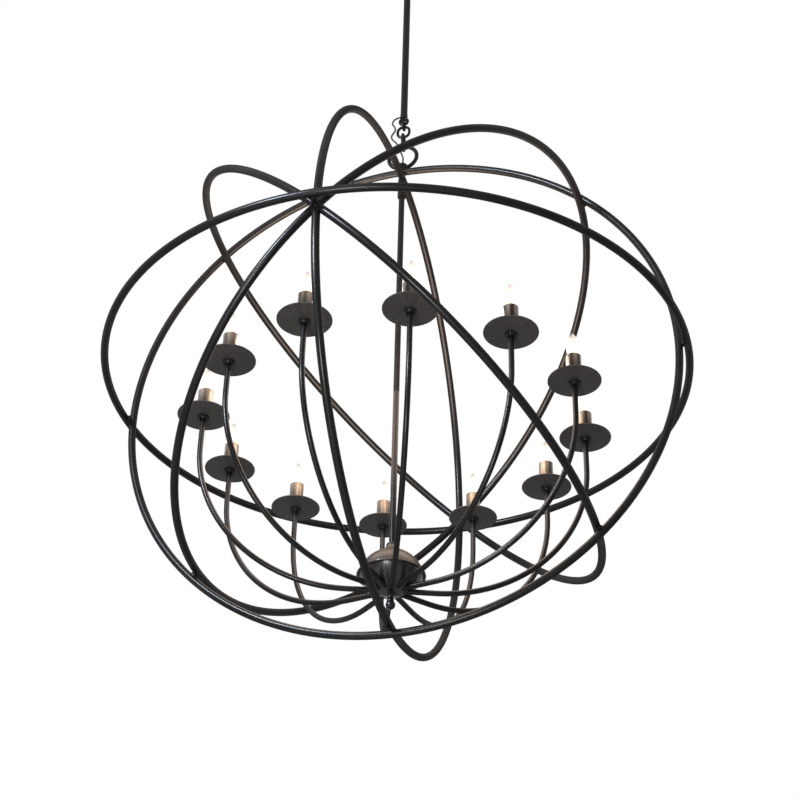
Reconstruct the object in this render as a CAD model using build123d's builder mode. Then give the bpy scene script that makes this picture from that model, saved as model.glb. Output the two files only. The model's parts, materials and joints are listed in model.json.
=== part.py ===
from build123d import *
import os
from math import acos, asin, cos, pi, radians, sin, sqrt, tan

# A wire globe chandelier: five tube hoops round a centre rod, a hub with curved candle arms,
# and a stem with chain links that carries it all from a ceiling canopy.
# Millimetres, +Z up. The origin is on the ceiling plane, in the middle of the crossbar.
# The globe's poles lie on the Y axis.

# Ceiling fitting
crossbar_length = 105.0
crossbar_width = 20.0
crossbar_thick = 2.5
box_screw_spacing = 79.4       # middle of the 69.9 and 88.9 spacings of ceiling boxes
box_slot_length = 14.3
box_slot_width = 4.8
canopy_d = 133.4
canopy_depth = 32.0
canopy_wall = 1.5
spigot_d = 9.8                 # threaded end of the screw collar, through the crossbar
locknut_flats = 16.0
locknut_thick = 4.5
collar_d = 20.0
collar_length = 24.0
ring_d = 30.0
ring_thick = 9.0

# Stem, its eye and the chain links
stem_d = 15.9
stem_wall = 1.35
stem_length = 457.2            # from the collar to the eye
stem_in_collar = 12.0
eye_neck_d = 17.0
eye_neck_length = 15.0
eye_spigot_length = 16.0
eye_wire_d = 7.0
eye_hole_d = 11.0
link_wire_d = 6.35
upper_link_play = 1.5          # free gap between the eye and the middle link, inside the upper link
middle_link_length = 26.0      # inside lengths of the links
lower_link_length = 39.0
middle_link_width = 21.0       # inside width of the middle link
link_gap = 0.3                 # between two links that bear on each other
link_side_gap = 1.0            # beside a wire that runs through a link

# Fixture loop and the clamp at the top of the globe
loop_outside_d = 74.0
loop_wire_d = 9.0
boss_d = 21.0
boss_height = 13.0
nipple_d = 8.0
nipple_in_boss = 9.0
coupling_d = 19.0
coupling_length = 50.0
nipple_in_coupling = 24.0
rod_in_coupling = 20.0

# Globe hoops
globe_width = 1219.2           # outside width across the largest hoop
hoop_tube_d = 15.9
hoop_wall = 1.2
hoop_gap = 1.2                 # between the tubes of two hoop sizes where they cross
spacer_d = 12.0
pole_stub_d = 12.0
top_spacer_d = 12.0

# Centre rod and hub
rod_d = 12.7
rod_wall = 1.35
wire_hole_d = 7.0
hub_rim_r = 63.5
hub_lip = 4.0
hub_lip_thick = 3.0
bowl_depth = 43.0
bowl_wall = 2.5
dome_height = 52.0
dome_wall = 1.5
neck_base_d = 40.0
neck_top_d = 22.0
neck_height = 20.0
plate_thick = 4.0
finial_ball_d = 19.0
finial_neck_d = 12.0
finial_neck_length = 12.0
finial_stud_length = 19.0
finial_clearance = 27.5        # from the ball down to the inner hoop
connector_d = 11.0
connector_tip_d = 8.0
connector_height = 22.0

# Candle arms
arm_count = 12
first_arm_angle = -71.0        # degrees from +X
candle_circle_r = 390.0
dish_drop = 115.0              # from the globe's centre down to the dishes
arm_tube_d = 11.1
arm_wall = 1.2
arm_straight = 64.0            # shorter straight end of an arm, before its bend
arm_start_r = 24.0
arm_above_bowl_bottom = 9.0    # arm centre line above the outside of the bowl's bottom

# Candle parts
cup_d = 24.0                   # collar cup under a dish
cup_height = 9.0
cup_spigot_d = 9.5
cup_spigot_length = 7.5
arm_in_cup = 6.0
dish_d = 106.0
dish_flat_d = 60.0
dish_sheet = 1.5
dish_lip = 3.8
sleeve_d = 30.0
sleeve_wall = 1.2
sleeve_height = 61.0
socket_d = 22.0
socket_height = 44.0
bulb_d = 28.0
bulb_show = 58.0               # bulb above the sleeve
bulb_belly_show = 20.0         # widest place of the glass, above the sleeve
bulb_point_length = 12.0       # drawn-out end of the glass
bulb_point_d = 14.0
bulb_base_d = 11.9
bulb_base_length = 18.0
bulb_neck_d = 12.6
bulb_glass_wall = 0.8
contact_d = 5.0
contact_height = 1.5

# Wires
cord_d = 4.0
cord_bend_share = 0.45         # of the shorter run beside it, taken up by a bend of the cord
arm_wire_d = 3.5

# Clearances
weld_gap = 0.1                 # between a spacer's coped end and its tube
cope_gap = 0.3                 # between a coped hoop end and the hoop it meets
thread_gap = 0.1               # radial, between a thread and its bore
slip_gap = 0.3                 # radial, where a bulb or the canopy ring turns or slides
wire_gap = 0.5                 # radial, round a wire in its hole
plate_gap = 1.0                # between the arm plate's edge and the bowl

os.makedirs("parts", exist_ok=True)


def save(piece, name):
    """Label a finished piece and write its STEP file."""
    piece.label = name
    export_step(piece, f"parts/{name}.step")


def cap_ball_r(rim_r, rise):
    """Radius of the ball that a domed cap of this rim and rise is cut from."""
    return (rim_r**2 + rise**2) / (2 * rise)


def cap_section(rim_r, rise, wall, rim_z, side, hole_r):
    """Half section of a domed sheet; side is 1 above its rim and -1 below it."""
    outer_r = cap_ball_r(rim_r, rise)
    inner_r = outer_r - wall
    centre_z = rim_z + side * (rise - outer_r)

    def on_ball(radius, angle):
        return (radius * sin(angle), centre_z + side * radius * cos(angle))

    outer_hole = asin(hole_r / outer_r)
    outer_rim = acos((outer_r - rise) / outer_r)
    inner_rim = acos((outer_r - rise) / inner_r)
    inner_hole = asin(hole_r / inner_r)
    outer_mid = (outer_hole + outer_rim) / 2
    inner_mid = (inner_hole + inner_rim) / 2
    with BuildLine() as outline:
        ThreePointArc(on_ball(outer_r, outer_hole), on_ball(outer_r, outer_mid), on_ball(outer_r, outer_rim))
        Line(on_ball(outer_r, outer_rim), on_ball(inner_r, inner_rim))
        ThreePointArc(on_ball(inner_r, inner_rim), on_ball(inner_r, inner_mid), on_ball(inner_r, inner_hole))
        Line(on_ball(inner_r, inner_hole), on_ball(outer_r, outer_hole))
    make_face(outline.edges())


def ring_section(inner_r, outer_r, low_z, high_z):
    """Half section of a plain turned ring or sleeve, in the r and z plane."""
    with Locations(((inner_r + outer_r) / 2, (low_z + high_z) / 2)):
        Rectangle(outer_r - inner_r, high_z - low_z)


# Levels from the ceiling down to the globe's centre
canopy_bottom = -canopy_depth
collar_bottom = canopy_bottom - ring_thick - thread_gap
collar_shoulder = collar_bottom + collar_length
stem_top = collar_bottom + stem_in_collar
stem_bottom = collar_bottom - stem_length
eye_ring_r = (eye_hole_d + eye_wire_d) / 2
eye_z = stem_bottom - eye_neck_length - eye_hole_d / 2 - eye_wire_d / 3
eye_pivot_z = eye_z - eye_ring_r
upper_link_top = eye_pivot_z + eye_wire_d / 2 + link_gap + link_wire_d / 2
upper_link_inside = eye_wire_d + link_wire_d + 2 * link_gap + upper_link_play
upper_pivot_z = upper_link_top - upper_link_inside - link_wire_d
middle_link_top = upper_pivot_z + link_wire_d + link_gap
middle_pivot_z = middle_link_top - middle_link_length - link_wire_d
lower_link_top = middle_pivot_z + link_wire_d + link_gap
lower_pivot_z = lower_link_top - lower_link_length - link_wire_d
loop_r = (loop_outside_d - loop_wire_d) / 2
loop_top = lower_pivot_z + link_wire_d / 2 + link_gap + loop_wire_d / 2
loop_z = loop_top - loop_r
globe_top = loop_z - loop_outside_d / 2 - slip_gap

# Globe and candle levels
hoop_r = hoop_tube_d / 2
outer_hoop_r = globe_width / 2 - hoop_r
hoop_step = hoop_tube_d + hoop_gap
middle_hoop_r = outer_hoop_r - hoop_step
inner_hoop_r = middle_hoop_r - hoop_step
globe_z = globe_top - hoop_r - middle_hoop_r
dish_z = globe_z - dish_drop
dish_top = dish_z + dish_sheet
spigot_top = dish_top + cup_spigot_length
sleeve_top = dish_top + sleeve_height
socket_top = dish_top + socket_height
bulb_tip = sleeve_top + bulb_show
finial_bottom = globe_z - inner_hoop_r + hoop_r + finial_clearance
finial_ball_z = finial_bottom + finial_ball_d / 2
bowl_bottom = finial_ball_z + finial_ball_d / 2 + finial_neck_length
arm_z = bowl_bottom + arm_above_bowl_bottom
hub_z = bowl_bottom + bowl_depth
coupling_top = globe_z + inner_hoop_r - hoop_r - weld_gap
coupling_bottom = coupling_top - coupling_length
rod_top = coupling_bottom + rod_in_coupling
nipple_bottom = coupling_top - nipple_in_coupling
boss_bottom = globe_top - hoop_r
boss_top = globe_top + boss_height
nipple_top = globe_top + nipple_in_boss
wire_bore_d = cord_d + 2 * wire_gap

# Arm route in its own upright plane, as radius and height
arm_top = dish_z - cup_height + arm_in_cup
arm_out = candle_circle_r - arm_start_r
arm_bend_r = min(arm_out, arm_top - arm_z) - arm_straight
arm_angles = [first_arm_angle + i * 360 / arm_count for i in range(arm_count)]

# Ceiling crossbar: a flat bar with two slots for the ceiling box screws
with BuildPart() as crossbar:
    with BuildSketch(Plane.XY) as bar_outline:
        SlotOverall(crossbar_length, crossbar_width)
        with GridLocations(box_screw_spacing, 0, 2, 1):
            SlotOverall(box_slot_length, box_slot_width, mode=Mode.SUBTRACT)
        Circle(spigot_d / 2 + thread_gap, mode=Mode.SUBTRACT)
    extrude(amount=-crossbar_thick)
save(crossbar.part, "ceiling_crossbar")

# Lock nut that holds the screw collar to the crossbar
with BuildPart() as locknut:
    with BuildSketch(Plane.XY.offset(-crossbar_thick)):
        RegularPolygon(locknut_flats / 2, 6, major_radius=False)
        Circle(spigot_d / 2 + thread_gap, mode=Mode.SUBTRACT)
    extrude(amount=-locknut_thick)
save(locknut.part, "crossbar_locknut")

# Screw collar: its spigot goes up through the crossbar, and the stem goes up into it
with BuildPart() as screw_collar:
    with BuildSketch(Plane.XZ):
        ring_section(wire_bore_d / 2, spigot_d / 2, collar_shoulder, 0)
        ring_section(wire_bore_d / 2, collar_d / 2, stem_top, collar_shoulder)
        ring_section(stem_d / 2 + thread_gap, collar_d / 2, collar_bottom, stem_top)
    revolve(axis=Axis.Z)
save(screw_collar.part, "screw_collar")

# Canopy: a domed cover over the ceiling box
with BuildPart() as canopy:
    with BuildSketch(Plane.XZ):
        cap_section(canopy_d / 2, canopy_depth, canopy_wall, 0, -1, collar_d / 2 + slip_gap)
    revolve(axis=Axis.Z)
save(canopy.part, "canopy")

# Canopy ring: screws up the collar and holds the canopy to the ceiling
canopy_ball_r = cap_ball_r(canopy_d / 2, canopy_depth)
with BuildPart() as canopy_ring:
    with BuildSketch(Plane.XZ):
        ring_low = canopy_bottom - ring_thick
        ring_high = canopy_bottom + ring_thick
        ring_section(collar_d / 2 + slip_gap, ring_d / 2, ring_low, ring_high)
    revolve(axis=Axis.Z)
    with Locations((0, 0, canopy_ball_r - canopy_depth)):
        Sphere(canopy_ball_r + slip_gap, mode=Mode.SUBTRACT)
save(canopy_ring.part, "canopy_ring")

# Stem tube
with BuildPart() as stem:
    with BuildSketch(Plane.XZ):
        ring_section(stem_d / 2 - stem_wall, stem_d / 2, stem_bottom, stem_top)
    revolve(axis=Axis.Z)
save(stem.part, "stem_tube")

# Stem eye: a spigot in the stem, a neck with a side hole for the cord, and a round eye
cord_exit_z = stem_bottom - eye_neck_length / 2
with BuildPart() as stem_eye:
    with BuildSketch(Plane.XZ):
        ring_section(0, stem_d / 2 - stem_wall - thread_gap, stem_bottom, stem_bottom + eye_spigot_length)
        ring_section(0, eye_neck_d / 2, stem_bottom - eye_neck_length, stem_bottom)
    revolve(axis=Axis.Z)
    with Locations((0, 0, eye_z)):
        Torus(eye_ring_r, eye_wire_d / 2, rotation=(90, 0, 0))
    with BuildSketch(Plane.XY.offset(cord_exit_z - wire_bore_d / 2)):
        Circle(wire_bore_d / 2)
    extrude(amount=eye_spigot_length + eye_neck_length, mode=Mode.SUBTRACT)
    with BuildSketch(Plane.YZ.offset(-eye_neck_d)):
        with Locations((0, cord_exit_z)):
            Circle(wire_bore_d / 2)
    extrude(amount=eye_neck_d, mode=Mode.SUBTRACT)
save(stem_eye.part, "stem_eye")

# Supply wire inside the stem, up to the ceiling
stem_wire_bottom = cord_exit_z - cord_d / 2
with BuildPart() as stem_wire:
    with BuildSketch(Plane.XY.offset(stem_wire_bottom)):
        Circle(cord_d / 2)
    extrude(amount=-stem_wire_bottom)
save(stem_wire.part, "stem_wire")


def link_path(half_width, top_z, low_z):
    """Centre line of a chain link: two straight sides and two half circles."""
    high = top_z - half_width
    low = low_z + half_width
    Line((half_width, low), (half_width, high))
    ThreePointArc((half_width, high), (0, top_z), (-half_width, high))
    Line((-half_width, high), (-half_width, low))
    ThreePointArc((-half_width, low), (0, low_z), (half_width, low))


# Chain links, each turned a quarter from its neighbours
upper_half = eye_wire_d / 2 + link_side_gap + link_wire_d / 2
middle_half = (middle_link_width + link_wire_d) / 2
lower_half = loop_wire_d / 2 + link_side_gap + link_wire_d / 2
links = [
    ("upper_link", Plane.YZ, upper_half, upper_link_top, upper_pivot_z),
    ("middle_link", Plane.XZ, middle_half, middle_link_top, middle_pivot_z),
    ("lower_link", Plane.YZ, lower_half, lower_link_top, lower_pivot_z),
]
for link_name, link_plane, half_width, top_z, low_z in links:
    with BuildPart() as link:
        with BuildLine(link_plane) as centre_line:
            link_path(half_width, top_z, low_z)
        side_point = link_plane.from_local_coords((half_width, (top_z + low_z) / 2, 0))
        with BuildSketch(Plane(origin=side_point, z_dir=(0, 0, 1))):
            Circle(link_wire_d / 2)
        sweep(path=centre_line.line)
    save(link.part, link_name)

# Fixture loop: a round wire ring on a drilled boss that saddles the middle hoop
with BuildPart() as fixture_loop:
    with Locations((0, 0, loop_z)):
        Torus(loop_r, loop_wire_d / 2, rotation=(90, 0, 0))
    with BuildSketch(Plane.XY.offset(boss_bottom)):
        Circle(boss_d / 2)
    extrude(amount=boss_top - boss_bottom)
    with Locations((0, 0, globe_z)):
        Torus(middle_hoop_r, hoop_r + weld_gap, rotation=(90, 0, 0), mode=Mode.SUBTRACT)
    with BuildSketch(Plane.XY.offset(boss_bottom)):
        Circle(nipple_d / 2 + thread_gap)
    extrude(amount=nipple_top - boss_bottom, mode=Mode.SUBTRACT)
    with BuildSketch(Plane.XY.offset(boss_bottom)):
        Circle(wire_bore_d / 2)
    extrude(amount=boss_top - boss_bottom, mode=Mode.SUBTRACT)
save(fixture_loop.part, "fixture_loop")

# Threaded nipple through the two crossed hoops, and the coupling under them
with BuildPart() as top_nipple:
    with BuildSketch(Plane.XZ):
        ring_section(wire_bore_d / 2, nipple_d / 2, nipple_bottom, nipple_top)
    revolve(axis=Axis.Z)
save(top_nipple.part, "top_nipple")

with BuildPart() as coupling:
    with BuildSketch(Plane.XZ):
        ring_section(nipple_d / 2 + thread_gap, coupling_d / 2, nipple_bottom, coupling_top)
        ring_section(wire_bore_d / 2, coupling_d / 2, rod_top, nipple_bottom)
        ring_section(rod_d / 2 + thread_gap, coupling_d / 2, coupling_bottom, rod_top)
    revolve(axis=Axis.Z)
save(coupling.part, "rod_coupling")

# Round hoops: the outer one lies level, the other two stand crossed, drilled for the nipple
round_hoops = [
    ("outer_hoop", outer_hoop_r, (0, 0, 1)),
    ("middle_hoop", middle_hoop_r, (0, 1, 0)),
    ("inner_hoop", inner_hoop_r, (1, 0, 0)),
]
for hoop_name, radius, normal in round_hoops:
    hoop_axis = Axis((0, 0, globe_z), normal)
    start_direction = (0, 1, 0) if normal[0] else (1, 0, 0)
    section_normal = Vector(*normal).cross(Vector(*start_direction))
    section_origin = Vector(0, 0, globe_z) + Vector(*start_direction) * radius
    with BuildPart() as hoop:
        with BuildSketch(Plane(origin=section_origin, z_dir=section_normal)):
            Circle(hoop_r)
            Circle(hoop_r - hoop_wall, mode=Mode.SUBTRACT)
        revolve(axis=hoop_axis)
        if hoop_name != "outer_hoop":
            with Locations((0, 0, globe_z + radius)):
                Cylinder(nipple_d / 2 + thread_gap, 2 * hoop_tube_d, mode=Mode.SUBTRACT)
    save(hoop.part, hoop_name)

# Slanted hoops: each is two half hoops, coped to the inner hoop and mitred together at the poles
slant_hoops = [("left_slant_hoop", 45, -1), ("right_slant_hoop", -45, 1)]
for hoop_name, tilt, side in slant_hoops:
    normal = (sin(radians(tilt)), 0, cos(radians(tilt)))
    with BuildPart() as hoop:
        along_hoop = Vector(*normal).cross(Vector(0, 1, 0))
        with BuildSketch(Plane(origin=(0, inner_hoop_r, globe_z), z_dir=along_hoop)):
            Circle(hoop_r)
            Circle(hoop_r - hoop_wall, mode=Mode.SUBTRACT)
        revolve(axis=Axis((0, 0, globe_z), normal))
        with Locations((0, 0, globe_z)):
            Torus(inner_hoop_r, hoop_r + cope_gap, rotation=(0, 90, 0), mode=Mode.SUBTRACT)
        mitre = outer_hoop_r
        with Locations((side * mitre / 2, 0, globe_z - (mitre - cope_gap) / 2)):
            Box(mitre, 2 * mitre, mitre, mode=Mode.SUBTRACT)
        with Locations((-side * mitre / 2, 0, globe_z + (mitre - cope_gap) / 2)):
            Box(mitre, 2 * mitre, mitre, mode=Mode.SUBTRACT)
    save(hoop.part, hoop_name)

# Spacers welded between hoops where they cross, and stubs at the two poles
slant = sqrt(0.5)
spacer_list = [
    ((1, 0, 0), middle_hoop_r, outer_hoop_r, spacer_d),
    ((-1, 0, 0), middle_hoop_r, outer_hoop_r, spacer_d),
    ((slant, 0, slant), inner_hoop_r, middle_hoop_r, spacer_d),
    ((-slant, 0, slant), inner_hoop_r, middle_hoop_r, spacer_d),
    ((slant, 0, -slant), inner_hoop_r, middle_hoop_r, spacer_d),
    ((-slant, 0, -slant), inner_hoop_r, middle_hoop_r, spacer_d),
    ((0, 0, -1), inner_hoop_r, middle_hoop_r, spacer_d),
    ((0, 0, 1), inner_hoop_r, middle_hoop_r, top_spacer_d),
    ((0, 1, 0), inner_hoop_r, outer_hoop_r, pole_stub_d),
    ((0, -1, 0), inner_hoop_r, outer_hoop_r, pole_stub_d),
]
with BuildPart() as spacers:
    for direction, low_r, high_r, diameter in spacer_list:
        middle = Vector(0, 0, globe_z) + Vector(*direction) * ((low_r + high_r) / 2)
        with Locations(Plane(origin=middle, z_dir=direction)):
            Cylinder(diameter / 2, high_r - low_r)
    with Locations((0, 0, globe_z)):
        Torus(outer_hoop_r, hoop_r + weld_gap, mode=Mode.SUBTRACT)
        Torus(middle_hoop_r, hoop_r + weld_gap, rotation=(90, 0, 0), mode=Mode.SUBTRACT)
        for turn in (90, 45, -45):
            Torus(inner_hoop_r, hoop_r + weld_gap, rotation=(0, turn, 0), mode=Mode.SUBTRACT)
    with Locations((0, 0, globe_z + middle_hoop_r)):
        Cylinder(nipple_d / 2 + thread_gap, 4 * hoop_step, mode=Mode.SUBTRACT)
save(spacers.part, "hoop_spacers")

# Centre rod: a tube from the coupling down to the bottom of the hub, with a wire hole in the hub
bowl_ball_r = cap_ball_r(hub_rim_r, bowl_depth)
bowl_centre_z = bowl_bottom + bowl_ball_r
rod_bottom = bowl_centre_z - sqrt((bowl_ball_r - bowl_wall)**2 - (rod_d / 2)**2)
rod_bore_d = rod_d - 2 * rod_wall
with BuildPart() as centre_rod:
    with BuildSketch(Plane.XZ):
        ring_section(rod_bore_d / 2, rod_d / 2, rod_bottom, rod_top)
    revolve(axis=Axis.Z)
    with Locations((0, 0, hub_z + dome_height / 2)):
        Cylinder(wire_hole_d / 2, 2 * rod_d, rotation=(90, 0, 0), mode=Mode.SUBTRACT)
save(centre_rod.part, "centre_rod")

# Hub bowl: a domed cup with a lip, drilled for the arms and for the finial
finial_stud_d = rod_bore_d - 2 * thread_gap
with BuildPart() as bowl:
    with BuildSketch(Plane.XZ):
        cap_section(hub_rim_r, bowl_depth, bowl_wall, hub_z, -1, finial_stud_d / 2 + thread_gap)
        ring_section(hub_rim_r - bowl_wall / 2, hub_rim_r + hub_lip, hub_z - hub_lip_thick, hub_z)
    revolve(axis=Axis.Z)
    with Locations((0, 0, arm_z)):
        with PolarLocations(hub_rim_r / 2, arm_count, start_angle=first_arm_angle):
            Cylinder(arm_tube_d / 2 + thread_gap, hub_rim_r, rotation=(0, 90, 0), mode=Mode.SUBTRACT)
save(bowl.part, "hub_bowl")

# Hub dome: sits on the bowl's rim
dome_ball_r = cap_ball_r(hub_rim_r, dome_height)
dome_centre_z = hub_z + dome_height - dome_ball_r
with BuildPart() as dome:
    with BuildSketch(Plane.XZ):
        cap_section(hub_rim_r, dome_height, dome_wall, hub_z, 1, rod_d / 2 + slip_gap)
    revolve(axis=Axis.Z)
save(dome.part, "hub_dome")

# Hub neck: a tapered collar on the rod that presses the dome down on the bowl
neck_foot = dome_centre_z + sqrt((dome_ball_r + weld_gap)**2 - (neck_base_d / 2)**2)
with BuildPart() as neck:
    with BuildSketch(Plane.XZ):
        with BuildLine():
            Polyline(
                (rod_d / 2 + thread_gap, neck_foot),
                (neck_base_d / 2, neck_foot),
                (neck_top_d / 2, neck_foot + neck_height),
                (rod_d / 2 + thread_gap, neck_foot + neck_height),
                close=True,
            )
        make_face()
    revolve(axis=Axis.Z)
    with Locations((0, 0, dome_centre_z)):
        Sphere(dome_ball_r + weld_gap, mode=Mode.SUBTRACT)
save(neck.part, "hub_neck")

# Arm plate: a disc on top of the arms' inner ends, which are welded to it
plate_z = arm_z + arm_tube_d / 2 + weld_gap
plate_r = sqrt((bowl_ball_r - bowl_wall)**2 - (bowl_centre_z - plate_z)**2) - plate_gap
with BuildPart() as plate:
    with BuildSketch(Plane.XZ):
        ring_section(rod_d / 2 + slip_gap, plate_r, plate_z, plate_z + plate_thick)
    revolve(axis=Axis.Z)
save(plate.part, "arm_plate")

# Finial: a stud up into the rod, a neck under the bowl and a ball
with BuildPart() as finial:
    with BuildSketch(Plane.XZ):
        ring_section(0, finial_stud_d / 2, bowl_bottom, rod_bottom + finial_stud_length)
        ring_section(0, finial_neck_d / 2, finial_ball_z, bowl_bottom)
    revolve(axis=Axis.Z)
    with Locations((0, 0, finial_ball_z)):
        Sphere(finial_ball_d / 2)
save(finial.part, "finial")

# Wire connectors that join the arm wires to the supply, standing on the arm plate
connector_r = rod_d / 4 + plate_r / 2
with BuildPart() as connectors:
    with Locations((0, 0, plate_z + plate_thick + connector_height / 2)):
        with PolarLocations(connector_r, 2):
            Cone(connector_d / 2, connector_tip_d / 2, connector_height)
save(connectors.part, "wire_connectors")


def arm_line(start_r, end_z):
    """Centre line of an arm or its wire: out from the hub, then up to the dish."""
    FilletPolyline((start_r, arm_z), (candle_circle_r, arm_z), (candle_circle_r, end_z), radius=arm_bend_r)


# Candle arms, each a bent tube in its own upright plane
wire_start_r = arm_start_r - arm_wire_d
arm_planes = []
for angle in arm_angles:
    outward = (cos(radians(angle)), sin(radians(angle)), 0)
    sideways = (sin(radians(angle)), -cos(radians(angle)), 0)
    arm_planes.append(Plane(origin=(0, 0, 0), x_dir=outward, z_dir=sideways))

for number, arm_plane in enumerate(arm_planes, start=1):
    with BuildPart() as arm:
        with BuildLine(arm_plane) as centre_line:
            arm_line(arm_start_r, arm_top)
        with BuildSketch(Plane(origin=centre_line.line @ 0, z_dir=centre_line.line % 0)):
            Circle(arm_tube_d / 2)
            Circle(arm_tube_d / 2 - arm_wall, mode=Mode.SUBTRACT)
        sweep(path=centre_line.line)
    save(arm.part, f"arm_{number:02d}")

# Wires: one in each arm, and the supply down the centre rod
rod_wire_bottom = hub_z + dome_height / 2
with BuildPart() as wiring:
    for arm_plane in arm_planes:
        with BuildLine(arm_plane) as centre_line:
            arm_line(wire_start_r, spigot_top)
        with BuildSketch(Plane(origin=centre_line.line @ 0, z_dir=centre_line.line % 0)):
            Circle(arm_wire_d / 2)
        sweep(path=centre_line.line)
    with BuildSketch(Plane.XY.offset(rod_wire_bottom)):
        Circle(cord_d / 2)
    extrude(amount=boss_top - rod_wire_bottom)
save(wiring.part, "lamp_wires")

# Candle parts, made on the first arm and repeated round the circle
candle_xy = (candle_circle_r * cos(radians(first_arm_angle)), candle_circle_r * sin(radians(first_arm_angle)))
candle_axis = Axis((*candle_xy, 0), (0, 0, 1))
candle_plane = Plane(origin=(*candle_xy, 0), x_dir=(1, 0, 0), z_dir=(0, -1, 0))
glass_start = socket_top + slip_gap
bulb_bottom = glass_start - bulb_base_length
socket_floor = bulb_bottom - slip_gap
arm_wire_bore_r = arm_wire_d / 2 + wire_gap

with BuildPart() as cup:
    with BuildSketch(candle_plane):
        ring_section(arm_tube_d / 2 + thread_gap, cup_d / 2, dish_z - cup_height, arm_top)
        ring_section(arm_wire_bore_r, cup_d / 2, arm_top, dish_z)
        ring_section(arm_wire_bore_r, cup_spigot_d / 2, dish_z, spigot_top)
    revolve(axis=candle_axis)

with BuildPart() as dish:
    with BuildSketch(candle_plane):
        with BuildLine():
            Polyline(
                (cup_spigot_d / 2 + thread_gap, dish_z),
                (dish_flat_d / 2, dish_z),
                (dish_d / 2, dish_z + dish_lip),
                (dish_d / 2, dish_z + dish_lip + dish_sheet),
                (dish_flat_d / 2, dish_top),
                (cup_spigot_d / 2 + thread_gap, dish_top),
                close=True,
            )
        make_face()
    revolve(axis=candle_axis)

with BuildPart() as sleeve:
    with BuildSketch(candle_plane):
        ring_section(sleeve_d / 2 - sleeve_wall, sleeve_d / 2, dish_top, sleeve_top)
    revolve(axis=candle_axis)

with BuildPart() as socket:
    with BuildSketch(candle_plane):
        ring_section(cup_spigot_d / 2 + thread_gap, socket_d / 2, dish_top, spigot_top + thread_gap)
        ring_section(0, socket_d / 2, spigot_top + thread_gap, socket_floor)
        ring_section(bulb_base_d / 2 + slip_gap, socket_d / 2, socket_floor, socket_top)
    revolve(axis=candle_axis)

candle_groups = [
    ("arm_cups", cup),
    ("drip_dishes", dish),
    ("candle_sleeves", sleeve),
    ("lamp_sockets", socket),
]
for group_name, piece in candle_groups:
    with BuildPart() as group:
        for i in range(arm_count):
            add(piece.part.rotate(Axis.Z, i * 360 / arm_count))
    save(group.part, group_name)

def bulb_outline(inset):
    """Half outline of a bulb's glass, drawn in by a wall: neck, belly, start of the point and tip."""
    return [
        (bulb_neck_d / 2 - inset, glass_start + inset),
        (bulb_d / 2 - inset, sleeve_top + bulb_belly_show),
        (bulb_point_d / 2 - inset, bulb_tip - bulb_point_length),
        (0, bulb_tip - 2 * inset),
    ]


# Bulbs: a screw base with a contact and a pointed hollow glass


with BuildPart() as bulb:
    with BuildSketch(candle_plane):
        with BuildLine():
            outline = bulb_outline(0)
            Polyline(
                outline[0],
                (bulb_base_d / 2, glass_start),
                (bulb_base_d / 2, bulb_bottom + contact_height),
                (contact_d / 2, bulb_bottom + contact_height),
                (contact_d / 2, bulb_bottom),
                (0, bulb_bottom),
                outline[3],
            )
            Spline(*outline)
        make_face()
    revolve(axis=candle_axis)
    with BuildSketch(candle_plane):
        with BuildLine():
            hollow = bulb_outline(bulb_glass_wall)
            Polyline(hollow[0], (0, hollow[0][1]), hollow[3])
            Spline(*hollow)
        make_face()
    revolve(axis=candle_axis, mode=Mode.SUBTRACT)
for i in range(arm_count):
    save(bulb.part.rotate(Axis.Z, i * 360 / arm_count), f"bulb_{i + 1:02d}")

# Supply cord: limp, from the hole in the eye's neck down beside the chain and into the boss.
# A point of its route is x, y and the drop below the hole.
cord_start_x = -(cord_d / 2 + slip_gap)
boss_drop = cord_exit_z - boss_top
cord_route = [
    (cord_start_x, 0.0, 0.0),
    (-14.0, 0.0, 0.0),
    (-24.0, -3.5, 9.5),
    (-25.5, -8.0, 26.0),
    (-17.0, -9.5, 39.5),
    (-17.0, -10.0, 51.5),
    (-26.0, -10.5, 64.0),
    (-24.0, -11.0, 77.0),
    (-14.5, -11.0, 87.5),
    (-9.0, -11.0, 99.5),
    (-7.0, -10.5, 111.2),
    (-1.0, -7.0, 122.2),
    (1.5, -2.0, 132.7),
    (0.0, 0.0, 143.2),
    (0.0, 0.0, boss_drop),
]
cord_points = [Vector(x, y, cord_exit_z - drop) for x, y, drop in cord_route]


def bend_radius(before, corner, after):
    """Largest bend that the two runs at a corner of the cord leave room for."""
    run_in = corner - before
    run_out = after - corner
    half_turn = radians(run_in.get_angle(run_out)) / 2
    return cord_bend_share * min(run_in.length, run_out.length) / tan(half_turn)


cord_bends = [bend_radius(*cord_points[i - 1:i + 2]) for i in range(1, len(cord_points) - 1)]
last_point = len(cord_points) - 1

# One stretch of the cord for each joint of the chain, cut square in the middle of a run.
# The numbers are the first and the last point of the route in that stretch.
cord_stretches = [
    ("supply_cord_at_eye", 0, 2),
    ("supply_cord_at_upper_link", 3, 5),
    ("supply_cord_at_middle_link", 6, 8),
    ("supply_cord_at_loop", 9, last_point),
]
for stretch_name, first, last in cord_stretches:
    points = cord_points[first:last + 1]
    bends = cord_bends[max(first, 1) - 1:last]
    if first > 0:
        points.insert(0, (cord_points[first - 1] + cord_points[first]) / 2)
    if last < last_point:
        points.append((cord_points[last] + cord_points[last + 1]) / 2)
    with BuildPart() as cord:
        with BuildLine() as cord_line:
            FilletPolyline(*points, radius=bends)
        with BuildSketch(Plane(origin=cord_line.line @ 0, z_dir=cord_line.line % 0)):
            Circle(cord_d / 2)
        sweep(path=cord_line.line)
    save(cord.part, stretch_name)
    length = cord_line.wire().length
    volume_ratio = cord.part.volume / (length * pi * cord_d**2 / 4)
    rounded_bends = [round(bend, 1) for bend in bends]
    print(f"{stretch_name}: {length:.1f} mm, bend radii {rounded_bends}, volume ratio {volume_ratio:.4f}")
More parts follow.
